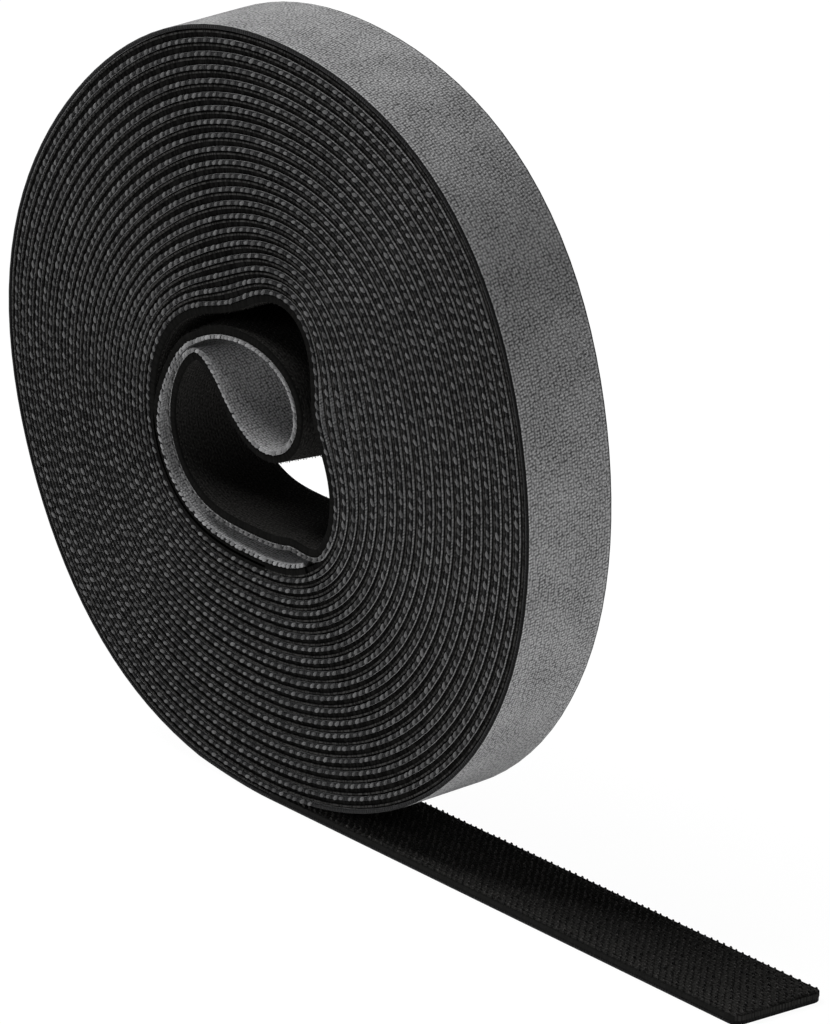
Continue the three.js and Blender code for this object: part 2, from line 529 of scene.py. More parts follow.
@dataclass(frozen=True)
class InnerEnd:
    """The folded inner end: a strand along the wall, a pinch, an open loop and the cut end behind.

    Lengths are in millimetres. Angles are in degrees, along the wall from the winding's innermost point
    and at the pinch from the x axis. A lean is how far the far edge leans inward for a unit of width, and
    the spans say where leans come and go, as shares of the points of the strand, the loop or the cut end.
    """

    draw_from: float = 2.0
    draw_to: float = -18.0
    cut_end: float = -10.0
    cut_slant: float = 35.0
    leave_wall: float = -112.0
    wall_step: float = 1.5
    end_distance: float = 1.45
    strand_distance: float = 4.8
    pinch_angle: float = 153.5
    pinch_distance: float = 5.5
    pinch_heading: float = 25.0
    pinch_half: float = 0.83
    hump_rise: float = 5.0
    hump_lead: float = 4.0
    hump_points: int = 26
    fold_tip: tuple[float, float] = (7.2, -0.75)
    fold_bow: float = 6.9
    fold_width: float = 12.4
    fold_roundness: float = 2.9
    fold_points: int = 161
    strand_lean: float = 0.07
    strand_lean_comes: Span = (0.0, 0.2)
    strand_lean_goes: Span = (0.5, 0.9)
    fold_lean: float = 0.07
    fold_lean_comes: Span = (0.9, 1.0)
    hump_lean: float = 0.13
    hump_lean_comes: Span = (0.7, 1.0)
    hump_lean_goes: Span = (0.0, 0.6)

    def pinch(self, radius_at: RadiusAt, start: float) -> np.ndarray:
        """The point where the fold opens, about the axis."""
        turns = (self.pinch_angle - start) / TURN
        return polar(radius_at(turns) - self.pinch_distance, self.pinch_angle)

    def heading(self) -> np.ndarray:
        """Direction of the doubled tape at the pinch."""
        return polar(1.0, self.pinch_heading)

    def draw(self, radius_at: RadiusAt, start: float) -> np.ndarray:
        """The stretch that leaves the innermost turn and is drawn in to the strand.

        Args:
            radius_at: Gives the winding's radius at a number of turns.
            start: Angle of the winding's innermost point.

        Returns:
            The stretch's bond line.
        """
        angles = np.arange(self.draw_from, self.draw_to, -self.wall_step)
        natural = radius_at(angles / TURN)
        drawn = radius_at(angles / TURN + 1) - self.strand_distance
        share = fade(angles, (self.draw_from, self.draw_to))
        return polar(natural + (drawn - natural) * share, start + angles)

    def layer(
        self, radius_at: RadiusAt, start: float, first: float, distance: float, side: float
    ) -> np.ndarray:
        """One layer along the wall and over the hump to its side of the pinch.

        Args:
            radius_at: Gives the winding's radius at a number of turns.
            start: Angle of the winding's innermost point.
            first: Angle where the layer begins, from that point.
            distance: How far it lies in from the wall.
            side: Left of the pinch where positive, right of it otherwise.

        Returns:
            The layer's bond line, ending at the pinch.
        """
        angles = np.arange(first, self.leave_wall - self.wall_step / 2, -self.wall_step)
        wall = polar(radius_at(angles / TURN + 1) - distance, start + angles)
        along = wall[-1] - wall[-2]
        along /= np.linalg.norm(along)
        heading = self.heading()
        end = self.pinch(radius_at, start) + side * self.pinch_half * np.array([-heading[1], heading[0]])
        handles = [wall[-1], wall[-1] + along * self.hump_rise, end - heading * self.hump_lead, end]
        return np.vstack([wall[:-1], bezier(handles, np.linspace(0, 1, self.hump_points))])

    def fold(self, radius_at: RadiusAt, start: float) -> np.ndarray:
        """The open loop, as a teardrop about a bowed spine that starts and ends at the pinch.

        Args:
            radius_at: Gives the winding's radius at a number of turns.
            start: Angle of the winding's innermost point.

        Returns:
            The loop's bond line.
        """
        pinch = self.pinch(radius_at, start)
        spine = [pinch, pinch + self.fold_bow * self.heading(), np.array(self.fold_tip)]
        phase = np.linspace(0, math.tau, self.fold_points)
        shares = (1 - np.cos(phase)) / 2
        middle = bezier(spine, shares)
        slope = bezier([spine[1] - spine[0], spine[2] - spine[1]], shares)
        slope /= np.linalg.norm(slope, axis=1)[:, None]
        widest = math.sqrt((1 + self.fold_roundness) / (2 + self.fold_roundness))
        fullness = 2 * widest ** (1 + self.fold_roundness) * math.sqrt(1 - widest**2)
        swell = np.sin(phase) * np.abs(np.sin(phase / 2)) ** self.fold_roundness / fullness
        across = np.stack([-slope[:, 1], slope[:, 0]], 1)
        loop = middle - across * (swell * self.fold_width / 2)[:, None]
        return loop - left_of(loop) * self.pinch_half

    def leans(self, strand: int, fold: int, end: int) -> np.ndarray:
        """Leans at the points of the strand, the loop and the cut end.

        Args:
            strand: The number of points up to the pinch.
            fold: The number of points round the loop.
            end: The number of points from the pinch to the cut.

        Returns:
            One lean for each point.
        """
        share = np.linspace(0, 1, strand)
        to_pinch = self.strand_lean * fade(share, self.strand_lean_comes)
        to_pinch *= 1 - fade(share, self.strand_lean_goes)
        to_pinch += self.fold_lean * fade(share, self.fold_lean_comes)
        more = (self.hump_lean - self.fold_lean) * fade(np.linspace(0, 1, fold), self.hump_lean_comes)
        to_cut = self.hump_lean * (1 - fade(np.linspace(0, 1, end), self.hump_lean_goes))
        return np.concatenate([to_pinch, self.fold_lean + more, to_cut])


@dataclass(frozen=True)
class Tail:
    """The flat free tail, in links that meet at joints, in millimetres.

    The root reaches out from under the axis, and the bend reach is a span to both sides of a joint.
    """

    root_reach: float = 10.0
    links: int = 6
    link_pitch: float = 15.0
    bend_reach: float = 4.5
    foot_round: float = 7.0
    foot_points: int = 9
    flat_step: float = 1.5
    tip_round: float = 1.6
    tip_points: int = 7
    tip_room: float = 3.0
    tip_slant: float = 1.8

    @property
    def reach(self) -> float:
        """Where the tail is cut."""
        return self.root_reach + self.links * self.link_pitch

    def hinge(self, link: int) -> float:
        """Where a link's joint is, with the first link as 1."""
        return self.root_reach + self.link_pitch * (link - 1)


class Route:
    """The tape's bond line from the tail's end to the inner end, with places along it.

    A point of the line that is nearer to a stretch's end than NEAREST, in millimetres, gives way to it.
    """

    NEAREST = 1e-3

    def __init__(self, tape: Tape, winding: Winding, inner: InnerEnd, tail: Tail) -> None:
        """Joins the tail, the winding, the strand, the fold and the cut end into one line.

        Args:
            tape: The tape's section.
            winding: The wound turns.
            inner: The folded inner end.
            tail: The free tail.
        """
        wound = winding.lay(tape)
        turns = winding.turns - np.arange(len(wound)) / winding.steps_per_turn
        radii = np.hypot(wound[:, 0], wound[:, 1])

        def radius_at(where: np.ndarray | float) -> np.ndarray:
            """The winding's radius at a number of turns."""
            return np.interp(where, turns[::-1], radii[::-1])

        start = winding.start_angle
        draw = inner.draw(radius_at, start)
        strand = inner.layer(radius_at, start, inner.draw_to, inner.strand_distance, -1.0)[1:]
        fold = inner.fold(radius_at, start)[1:-1]
        end = inner.layer(radius_at, start, inner.cut_end, inner.end_distance, 1.0)[::-1]
        lift = np.array([0.0, tape.floor_to_bond - wound[0, 1]])
        wound = wound + lift
        foot = self.rounded_foot(tape, tail, wound)
        half_step = 0.5 / winding.steps_per_turn
        kept = (turns > inner.draw_from / TURN + half_step) & (travelled(wound) > tail.foot_round)
        parts = [foot, wound[kept], draw + lift, strand + lift, fold + lift, end + lift]
        self.points = np.vstack(parts)
        self.along = travelled(self.points)
        self.side = left_of(self.points)
        inward = inner.leans(len(draw) + len(strand), len(fold), len(end))
        self.lean = np.concatenate([np.zeros(len(foot)), -winding.lean_at(turns[kept]), inward])
        _, after_turns, _, after_strand, after_fold, _ = np.cumsum([len(part) for part in parts])
        self.strand_from = self.along[after_turns]
        self.fold_from = self.along[after_strand]
        self.fold_to = self.along[after_fold - 1]
        self.pinch = inner.pinch(radius_at, start) + lift
        self.heading = inner.heading()

    @staticmethod
    def rounded_foot(tape: Tape, tail: Tail, wound: np.ndarray) -> np.ndarray:
        """The tail and a soft bend from it into the outermost turn.

        Args:
            tape: The tape's section.
            tail: The free tail.
            wound: The winding from its foot inward.

        Returns:
            The line from the tail's end to where the bend meets the winding.
        """
        meet = wound[np.argmax(travelled(wound) > tail.foot_round)]
        leave = wound[0] + np.array([tail.foot_round, 0.0])
        quarter = np.linspace(0, math.pi / 2, tail.tip_points)
        tip = tail.reach - tail.tip_round * (1 - np.cos(quarter))
        flat = np.concatenate([tip, np.arange(tail.reach - tail.tip_room, leave[0], -tail.flat_step)])
        line = np.stack([flat, np.full(len(flat), tape.floor_to_bond)], 1)
        shares = np.linspace(0, 1, tail.foot_points)[:-1]
        return np.vstack([line, bezier([leave, wound[0], meet], shares)])

    def cut(self, first: float, last: float, name: str) -> bpy.types.Mesh:
        """One stretch of the line as a mesh of edges.

        Args:
            first: Where it starts, along the line.
            last: Where it ends.
            name: The mesh's name.

        Returns:
            The mesh, with the side, the lean and the place along the tape on its points.
        """
        inside = (self.along > first + self.NEAREST) & (self.along < last - self.NEAREST)
        along = np.concatenate([[first], self.along[inside], [last]])
        rows = (*self.points.T, *self.side.T, self.lean)
        x, z, side_x, side_z, lean = (np.interp(along, self.along, row) for row in rows)
        mesh = bpy.data.meshes.new(name)
        zero = np.zeros(len(along))
        places = np.stack([x, zero, z], 1) * MM
        mesh.from_pydata(places.tolist(), [(i, i + 1) for i in range(len(along) - 1)], [])
        side = np.stack([side_x, zero, side_z], 1)
        side /= np.linalg.norm(side, axis=1)[:, None]
        mesh.attributes.new("side", "FLOAT_VECTOR", "POINT").data.foreach_set("vector", side.ravel())
        mesh.attributes.new("along", "FLOAT", "POINT").data.foreach_set("value", along * MM)
        mesh.attributes.new("lean", "FLOAT", "POINT").data.foreach_set("value", lean)
        return mesh


class Finish:
    """What the finishes share: a new material with one Principled shader."""

    name: str

    def open(self, **constants: Value) -> tuple[bpy.types.Material, Graph, bpy.types.Node]:
        """Starts the material.

        Args:
            **constants: Plain values on the shader's own sockets, with underscores for spaces.

        Returns:
            The material, its graph and its shader.
        """
        material = bpy.data.materials.new(self.name)
        material.use_nodes = True
        graph = Graph(material.node_tree)
        graph.tree.nodes.clear()
        sockets = {key.replace("_", " "): value for key, value in constants.items()}
        shader = graph.node("ShaderNodeBsdfPrincipled", None, sockets)
        graph.node("ShaderNodeOutputMaterial", None, {"Surface": shader.outputs[0]})
        return material, graph, shader

    @staticmethod
    def tape_place(graph: Graph) -> tuple[Term, Term]:
        """Places along and across the tape, in millimetres."""
        place = graph.term("ShaderNodeAttribute", {"attribute_name": "tape"}, output="Vector")
        parts = graph.node("ShaderNodeSeparateXYZ", None, {0: place})
        return Term(graph, parts.outputs[0]) / MM, Term(graph, parts.outputs[1]) / MM

    @staticmethod
    def noise(graph: Graph, place: tuple[Term, Term], spot: Span, detail: float) -> Term:
        """Noise over the tape, in spots of a length and a width in millimetres.

        Args:
            graph: The material's graph.
            place: Places along and across the tape.
            spot: A spot's length and width.
            detail: The noise's detail.

        Returns:
            The noise, from 0 to 1.
        """
        spots = graph.vector(place[0] / spot[0], place[1] / spot[1])
        sockets = {"Vector": spots, "Scale": 1.0, "Detail": detail}
        return graph.term("ShaderNodeTexNoise", {"noise_dimensions": "2D"}, sockets)

    @staticmethod
    def near_edge(graph: Graph, reach: Value, half_width: float, band: Span) -> Term:
        """Smooth step towards the tape's edges, over a band given by its distances in from them."""
        return graph.ramp(reach, half_width - band[0], half_width - band[1])

    @staticmethod
    def tint(graph: Graph, factor: Value, dark: Colour, light: Colour) -> Term:
        """Colour between a dark and a light one by a factor."""
        return graph.mixed(factor, (*dark, 1.0), (*light, 1.0))

    @staticmethod
    def bump(graph: Graph, shader: bpy.types.Node, height: Value, depth: float, strength: float) -> None:
        """Feeds a height, over a depth in millimetres, to the shader's normal."""
        sockets = {"Height": height, "Distance": depth * MM, "Strength": strength}
        graph.feed(shader.inputs["Normal"], graph.term("ShaderNodeBump", None, sockets))


@dataclass(frozen=True)
class WovenLoop(Finish):
    """Grey woven web under a low loop pile, with fine knots and slanting ribs across its width."""

    name: str = "woven_loop_pile"
    dark: Colour = (0.055, 0.055, 0.056)
    light: Colour = (0.60, 0.60, 0.605)
    edge: Colour = (0.008, 0.008, 0.0081)
    # the loop web's edge colour along the tail: painted shade where the tail lies on the floor
    bare: Colour = (0.007, 0.007, 0.007)
    sheen: Colour = (0.9, 0.9, 0.92)
    # where the tail's painted shade ends along the tape, and over what length it fades out
    shaded_tail_to: float = 112.0
    shaded_tail_fade: float = 20.0
    loose_from: float = 4900.0
    loose_fade: float = 8.0
    # painted shade: the loose stretches inside the bore are darkened to this level
    bore_shade_level: float = 0.86
    knot: float = 0.44
    knot_scatter: float = 0.55
    knot_ramp: Span = (0.18, 0.58)
    knot_light: float = 0.5
    knot_height: float = 0.65
    rib: float = 0.48
    slant: float = 0.35
    rib_light: float = 0.22
    rib_height: float = 0.35
    cloud_spot: Span = (7.0, 7.0)
    cloud_detail: float = 3.0
    cloud_light: float = 0.35
    lint_spot: Span = (0.9, 0.35)
    lint_detail: float = 2.0
    lint_light: float = 0.5
    base_light: float = 0.12
    half_width: float = 7.3
    border_band: Span = (0.7, 0.4)
    border_light: float = 0.1
    rim_band: Span = (0.1, 0.03)
    # painted shade: how much further in the dark rim reaches along the tail
    tail_shade_rim: float = 0.3
    # painted shade: how much further in the dark rim reaches on the packed turns, between the turns
    packed_shade_rim: float = 0.2
    cut_band: Span = (1.2, 2.0)
    depth: float = 0.12
    strength: float = 0.55

    def material(self) -> bpy.types.Material:
        """Builds the material."""
        material, graph, shader = self.open(
            Roughness=0.95, Specular_IOR_Level=0.04, Sheen_Weight=0.12, Sheen_Roughness=0.5,
            Sheen_Tint=(*self.sheen, 1.0),
        )
        place = self.tape_place(graph)
        along, across = place
        settings = {"voronoi_dimensions": "2D", "feature": "F1"}
        spots = graph.vector(along / self.knot, across / self.knot)
        sockets = {"Vector": spots, "Scale": 1.0, "Randomness": self.knot_scatter}
        knots = 1 - graph.ramp(graph.term("ShaderNodeTexVoronoi", settings, sockets), *self.knot_ramp)
        ribs = graph.wave((along + across * self.slant) * (math.tau / self.rib))
        cloud = self.noise(graph, place, self.cloud_spot, self.cloud_detail) - 0.5
        lint = self.noise(graph, place, self.lint_spot, self.lint_detail) - 0.5
        weave = knots * self.knot_light + ribs * self.rib_light
        weave = weave + lint * self.lint_light + cloud * self.cloud_light + self.base_light
        # wound is 0 along the tail, where the edges take painted shade, and 1 on the roll; the tail's cut end
        # takes the same dark colour
        wound = graph.ramp(along, self.shaded_tail_to - self.shaded_tail_fade, self.shaded_tail_to)
        packed = 1 - graph.ramp(along, self.loose_from - self.loose_fade, self.loose_from)
        reach = graph.math("ABSOLUTE", across)
        border = self.near_edge(graph, reach, self.half_width, self.border_band)
        # the dark rim reaches further in along the tail and on the packed turns: painted shade under the tail
        # and between the turns
        reach = reach + (1 - wound) * self.tail_shade_rim + packed * self.packed_shade_rim
        rim = self.near_edge(graph, reach, self.half_width, self.rim_band)
        # painted shade: level is 1 on the packed turns and darker on the loose stretches in the bore
        level = packed * (1 - self.bore_shade_level) + self.bore_shade_level
        face = self.tint(graph, (weave + border * self.border_light) * level, self.dark, self.light)
        cut = 1 - graph.ramp(along, *self.cut_band)
        edge = self.tint(graph, wound, self.bare, self.edge)
        graph.feed(shader.inputs["Base Color"], graph.mixed(graph.math("MAXIMUM", rim, cut), face, edge))
        height = knots * self.knot_height + ribs * self.rib_height
        self.bump(graph, shader, height, self.depth, self.strength)
        return material


@dataclass(frozen=True)
class SelvedgeYarn(Finish):
    """Lighter grey yarn that is knotted along the loop web's edges."""

    name: str = "selvedge_yarn"
    dark: Colour = (0.03, 0.03, 0.0305)
    light: Colour = (0.16, 0.16, 0.161)
    strand_scale: float = 2600.0
    strand_light: float = 0.5
    shade_light: float = 0.6
    base_light: float = -0.05
    depth: float = 0.1
    strength: float = 0.5

    def material(self) -> bpy.types.Material:
        """Builds the material."""
        material, graph, shader = self.open(
            Roughness=0.9, Specular_IOR_Level=0.05, Sheen_Weight=0.1, Sheen_Roughness=0.5
        )
        shade = graph.term("ShaderNodeAttribute", {"attribute_name": "shade"}, output="Fac")
        place = graph.term("ShaderNodeTexCoord", output="Object")
        sockets = {"Vector": place, "Scale": self.strand_scale, "Detail": 2.0, "Roughness": 0.6}
        strands = graph.term("ShaderNodeTexNoise", None, sockets)
        factor = shade * self.shade_light + strands * self.strand_light + self.base_light
        graph.feed(shader.inputs["Base Color"], self.tint(graph, factor, self.dark, self.light))
        self.bump(graph, shader, strands, self.depth, self.strength)
        return material


@dataclass(frozen=True)
class HookGround(Finish):
    """Black woven ground of the hook web, ribbed along the tape."""

    name: str = "hook_ground"
    dark: Colour = (0.006, 0.006, 0.0058)
    light: Colour = (0.037, 0.036, 0.0345)
    warp: float = 0.5
    warp_height: float = 0.5
    weft: float = 0.6
    weft_height: float = 0.4
    fibre_spot: Span = (0.5, 0.25)
    fibre_detail: float = 2.0
    fibre_height: float = 0.2
    fibre_ramp: Span = (0.4, 0.65)
    fibre_light: float = 0.5
    height_light: float = 0.5
    half_width: float = 7.05
    edge_band: Span = (0.25, 0.08)
    # painted shade: the colour is scaled by these levels on the face and at the edges, where the hook web
    # lies between turns and layers
    face_shade_level: float = 1.0
    edge_shade_level: float = 0.15
    depth: float = 0.12
    strength: float = 0.6

    def material(self) -> bpy.types.Material:
        """Builds the material."""
        material, graph, shader = self.open(Roughness=0.9, Specular_IOR_Level=0.0)
        place = self.tape_place(graph)
        along, across = place
        warp = graph.wave(across * (math.tau / self.warp))
        shift = graph.math("GREATER_THAN", graph.sin(across * (math.pi / self.warp)), 0.0) * math.pi
        weft = graph.wave(along * (math.tau / self.weft) + shift)
        fibre = self.noise(graph, place, self.fibre_spot, self.fibre_detail)
        height = warp * self.warp_height + weft * self.weft_height + fibre * self.fibre_height
        edge = self.near_edge(graph, graph.math("ABSOLUTE", across), self.half_width, self.edge_band)
        # painted shade across the ground, from the face's level to the edges' level
        level = edge * (self.edge_shade_level - self.face_shade_level) + self.face_shade_level
        shade = height * self.height_light + graph.ramp(fibre, *self.fibre_ramp) * self.fibre_light
        graph.feed(shader.inputs["Base Color"], self.tint(graph, shade * level, self.dark, self.light))
        self.bump(graph, shader, height, self.depth, self.strength)
        return material


@dataclass(frozen=True)
class HookFilament(Finish):
    """Black nylon monofilament of the hooks, with a soft gloss."""

    name: str = "hook_filament"
    dark: Colour = (0.010, 0.010, 0.010)
    light: Colour = (0.052, 0.050, 0.048)
    roughness: Span = (0.34, 0.49)

    def material(self) -> bpy.types.Material:
        """Builds the material."""
        material, graph, shader = self.open(Specular_IOR_Level=0.05)
        shade = graph.term("ShaderNodeAttribute", {"attribute_name": "shade"}, output="Fac")
        graph.feed(shader.inputs["Base Color"], self.tint(graph, shade, self.dark, self.light))
        smooth, rough = self.roughness
        graph.feed(shader.inputs["Roughness"], shade * (rough - smooth) + smooth)
        return material


@dataclass(frozen=True)
class Finishes:
    """The materials of the tape, made once."""

    loop: bpy.types.Material
    yarn: bpy.types.Material
    loose_yarn: bpy.types.Material
    grounds: dict[Ground, bpy.types.Material]
    packed_hooks: bpy.types.Material
    filament: bpy.types.Material

    @classmethod
    def made(cls, loose_from: float) -> "Finishes":
        """Builds every material.

        Args:
            loose_from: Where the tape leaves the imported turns, along it in millimetres.

        Returns:
            The materials.
        """
        grounds = {
            Ground.BORE: HookGround(Ground.BORE.value),
            # the packed web's face, recessed under the packed hooks, is painted dark as shade; its edges are
            # lighter
            Ground.PACKED: HookGround(
                Ground.PACKED.value, dark=(0.003, 0.003, 0.003), light=(0.052, 0.051, 0.0495),
                half_width=7.2, face_shade_level=0.1, edge_shade_level=1.5,
            ),
            # a lighter copy of the hook ground: painted light where the tail lies open to the lamps
            Ground.TAIL: HookGround(
                Ground.TAIL.value, dark=(0.011, 0.011, 0.0107), light=(0.046, 0.0448, 0.043)
            ),
        }
        # a lighter copy of the selvedge yarn: painted light on the knots of the fold and the cut end inside
        # the bore
        loose_yarn = SelvedgeYarn("loose_yarn", dark=(0.09, 0.09, 0.092), light=(0.36, 0.36, 0.364))
        # the hook pile packed between turns, a darker copy of the hook ground: painted shade between the
        # turns
        packed_hooks = HookGround(
            "packed_hooks", dark=(0.001, 0.001, 0.001), light=(0.014, 0.0137, 0.0133),
            weft=1.2, edge_shade_level=1.0,
        )
        return cls(
            loop=WovenLoop(loose_from=loose_from).material(),
            yarn=SelvedgeYarn().material(),
            loose_yarn=loose_yarn.material(),
            grounds={ground: finish.material() for ground, finish in grounds.items()},
            packed_hooks=packed_hooks.material(),
            filament=HookFilament().material(),
        )


class Loom:
    """The Geometry Nodes trees that turn a stretch of the line into webs, selvedges and hooks.

    Slips are shares of the pitch, tilts and swings are slopes, sizes are shares of a knot's or a hook's
    own size, and the hook's line is in units of its height. A strip's faces have four corners and its end
    caps more, and only the faces under STRIP_CORNERS are smooth.
    """

    STRIP_CORNERS = 4.5
    ROUNDING_POINTS = 3
    KNOT_SEGMENTS = 6
    KNOT_RINGS = 5
    KNOT_SLIP = (-0.17, 0.17)
    KNOT_TILT = (-0.15, 0.15)
    KNOT_SIZE = (0.86, 1.12)
    HOOK_SLIP = (-0.1, 0.1)
    HOOK_SWING = (-0.25, 0.25)
    HOOK_SIZE = (0.85, 1.12)
    HOOK_LINE = {
        "Start": (-0.3, 0.0, -0.08),
        "Start Handle": (-0.42, 0.0, 1.05),
        "End Handle": (0.62, 0.0, 1.38),
        "End": (0.52, 0.0, 0.42),
    }
    SHADE = (0.0, 1.0)

    def __init__(self) -> None:
        """Builds the three trees."""
        self.web = self.web_tree()
        self.selvedge = self.selvedge_tree()
        self.hooks = self.hook_tree()

    @classmethod
    def web_tree(cls) -> Shape:
        """Sweeps a strip with rounded edges along the line, and rounds the corners of the tail's tip.

        Returns:
            The tree, with inputs for the strip's width, thickness, middle, corner and tip.
        """
        tree = Shape("web", width=float, thickness=float, middle=float, corner=float, tip=float,
                     finish=bpy.types.Material)
        side = tree.stored("side", "FLOAT_VECTOR")
        curve = tree.term("GeometryNodeMeshToCurve", None, {"Mesh": tree.start()})
        sockets = {"Geometry": curve, "Offset": tree.scaled(side, tree.size("middle"))}
        shifted = tree.term("GeometryNodeSetPosition", None, sockets)
        turned = tree.term("GeometryNodeSetCurveNormal", {"mode": "FREE"}, {"Curve": shifted, "Normal": side})
        sockets = {"Width": tree.size("thickness"), "Height": tree.size("width")}
        plain = tree.term("GeometryNodeCurvePrimitiveQuadrilateral", None, sockets)
        sockets = {"Curve": plain, "Count": cls.ROUNDING_POINTS, "Radius": tree.size("corner"),
                   "Limit Radius": True}
        section = tree.term("GeometryNodeFilletCurve", {"mode": "POLY"}, sockets)
        sockets = {"Curve": turned, "Profile Curve": section, "Fill Caps": True}
        swept = tree.term("GeometryNodeCurveToMesh", None, sockets)
        corners = tree.term("GeometryNodeInputMeshFaceNeighbors", output="Vertex Count")
        sockets = {"Geometry": swept, "Shade Smooth": tree.math("LESS_THAN", corners, cls.STRIP_CORNERS)}
        smooth = tree.term("GeometryNodeSetShadeSmooth", None, sockets)
        place = tree.node("ShaderNodeSeparateXYZ", None, {0: tree.term("GeometryNodeInputPosition")})
        across = Term(tree, place.outputs[1])
        along = tree.stored("along", "FLOAT")
        tip = tree.size("tip")
        short = tree.math("MAXIMUM", tip - along, 0.0)
        rest = tree.math("SQRT", tree.math("MAXIMUM", tip * tip - short * short, 0.0))
        reach = tree.size("width") * 0.5 - tip + rest
        over = tree.math("MAXIMUM", tree.math("ABSOLUTE", across) - reach, 0.0)
        pull = tree.vector(0.0, -(tree.math("SIGN", across) * over))
        moved = tree.summed(pull, cls.leaning(tree, across))
        rounded = tree.term("GeometryNodeSetPosition", None, {"Geometry": smooth, "Offset": moved})
        tree.close(tree.store(rounded, "tape", tree.vector(along, across), "FLOAT_VECTOR"))
        return tree

    @staticmethod
    def leaning(tree: Shape, across: Value) -> Term:
        """Offset of a place across the tape where the tape leans in from its near edge."""
        from_near = across + Tape().width / 2 * MM
        return tree.scaled(tree.stored("side", "FLOAT_VECTOR"), -(tree.stored("lean", "FLOAT") * from_near))

    @staticmethod
    def along_line(tree: Shape) -> tuple[Term, Term, Term]:
        """Spreads points along the line, half a pitch in from both its ends.

        Args:
            tree: A tree with inputs for the line's length, the pitch and the count.

        Returns:
            The points, and their tangent and side.
        """
        curve = tree.term("GeometryNodeMeshToCurve", None, {"Mesh": tree.start()})
        half = tree.size("pitch") * 0.5
        sockets = {"Curve": curve, 4: half, 5: tree.size("length") - half}
        trimmed = tree.term("GeometryNodeTrimCurve", {"mode": "LENGTH"}, sockets)
        sockets = {"Curve": trimmed, "Count": tree.size("count")}
        spread = tree.node("GeometryNodeCurveToPoints", {"mode": "COUNT"}, sockets)
        side = tree.stored("side", "FLOAT_VECTOR")
        return Term(tree, spread.outputs["Points"]), Term(tree, spread.outputs["Tangent"]), side

    @staticmethod
    def chance(tree: Shape, span: Span, seed: Seed) -> Term:
        """A seeded random number within a span."""
        sockets = {2: span[0], 3: span[1], "Seed": seed.value}
        return tree.term("FunctionNodeRandomValue", {"data_type": "FLOAT"}, sockets, output=1)

    @classmethod
    def selvedge_tree(cls) -> Shape:
        """Sets knots of yarn along one edge.

        Returns:
            The tree, with inputs for the knots' pitch, place and size.
        """
        tree = Shape("selvedge", length=float, pitch=float, count=int, across=float, middle=float,
                     knot_length=float, knot_height=float, knot_depth=float, lean=float,
                     finish=bpy.types.Material)
        points, tangent, side = cls.along_line(tree)
        across = tree.size("across")
        offset = tree.summed(tree.scaled(side, tree.size("middle")), tree.vector(0.0, across))
        slip = tree.size("pitch") * cls.chance(tree, cls.KNOT_SLIP, Seed.KNOT_SLIP)
        offset = tree.summed(tree.summed(offset, tree.scaled(tangent, slip)), cls.leaning(tree, across))
        placed = tree.term("GeometryNodeSetPosition", None, {"Geometry": points, "Offset": offset})
        tilt = tree.size("lean") + cls.chance(tree, cls.KNOT_TILT, Seed.KNOT_TILT)
        settings = {"primary_axis": "X", "secondary_axis": "Z"}
        sockets = {0: tree.summed(tangent, tree.scaled(side, tilt)), 1: side}
        rotation = tree.term("FunctionNodeAxesToRotation", settings, sockets)
        sockets = {"Segments": cls.KNOT_SEGMENTS, "Rings": cls.KNOT_RINGS, "Radius": 0.5}
        ball = tree.term("GeometryNodeMeshUVSphere", None, sockets)
        sizes = tree.vector(tree.size("knot_length"), tree.size("knot_depth"), tree.size("knot_height"))
        scale = tree.scaled(sizes, cls.chance(tree, cls.KNOT_SIZE, Seed.KNOT_SIZE))
        sockets = {"Points": placed, "Instance": ball, "Rotation": rotation, "Scale": scale}
        knots = tree.term("GeometryNodeInstanceOnPoints", None, sockets)
        shade = cls.chance(tree, cls.SHADE, Seed.KNOT_SHADE)
        tree.close(tree.store(knots, "shade", shade, "FLOAT", "INSTANCE"))
        return tree

    @classmethod
    def hook_tree(cls) -> Shape:
        """Stands rows of hooks on the hook face, every other row half a pitch on and facing back.

        Returns:
            The tree, with inputs for the rows and for a hook's height, thickness and detail.
        """
        tree = Shape("hooks", length=float, pitch=float, count=int, rows=int, first_row=float, row_gap=float,
                     face=float, height=float, thickness=float, segments=int, sides=int,
                     finish=bpy.types.Material)
        points, tangent, side = cls.along_line(tree)
        sockets = {"Geometry": points, "Amount": tree.size("rows")}
        copies = tree.node("GeometryNodeDuplicateElements", {"domain": "POINT"}, sockets)
        row = Term(tree, copies.outputs["Duplicate Index"])
        odd = tree.math("FLOORED_MODULO", row, 2.0)
        across = tree.size("first_row") + tree.size("row_gap") * row
        shift = odd * 0.5 - 0.25 + cls.chance(tree, cls.HOOK_SLIP, Seed.HOOK_SLIP)
        slip = tree.scaled(tangent, tree.size("pitch") * shift)
        lift = tree.summed(tree.scaled(side, tree.size("face")), tree.vector(0.0, across))
        lift = tree.summed(lift, cls.leaning(tree, across))
        sockets = {"Geometry": copies.outputs["Geometry"], "Offset": tree.summed(slip, lift)}
        placed = tree.term("GeometryNodeSetPosition", None, sockets)
        swing = tree.vector(0.0, cls.chance(tree, cls.HOOK_SWING, Seed.HOOK_SWING))
        facing = tree.summed(tree.scaled(tangent, 1 - odd * 2), swing)
        settings = {"primary_axis": "Z", "secondary_axis": "X"}
        sockets = {0: tree.scaled(side, -1.0), 1: facing}
        rotation = tree.term("FunctionNodeAxesToRotation", settings, sockets)
        sockets = {"Resolution": tree.size("segments"), **cls.HOOK_LINE}
        bent = tree.term("GeometryNodeCurvePrimitiveBezierSegment", None, sockets)
        sockets = {"Resolution": tree.size("sides"), "Radius": tree.size("thickness") * 0.5}
        ring = tree.term("GeometryNodeCurvePrimitiveCircle", None, sockets)
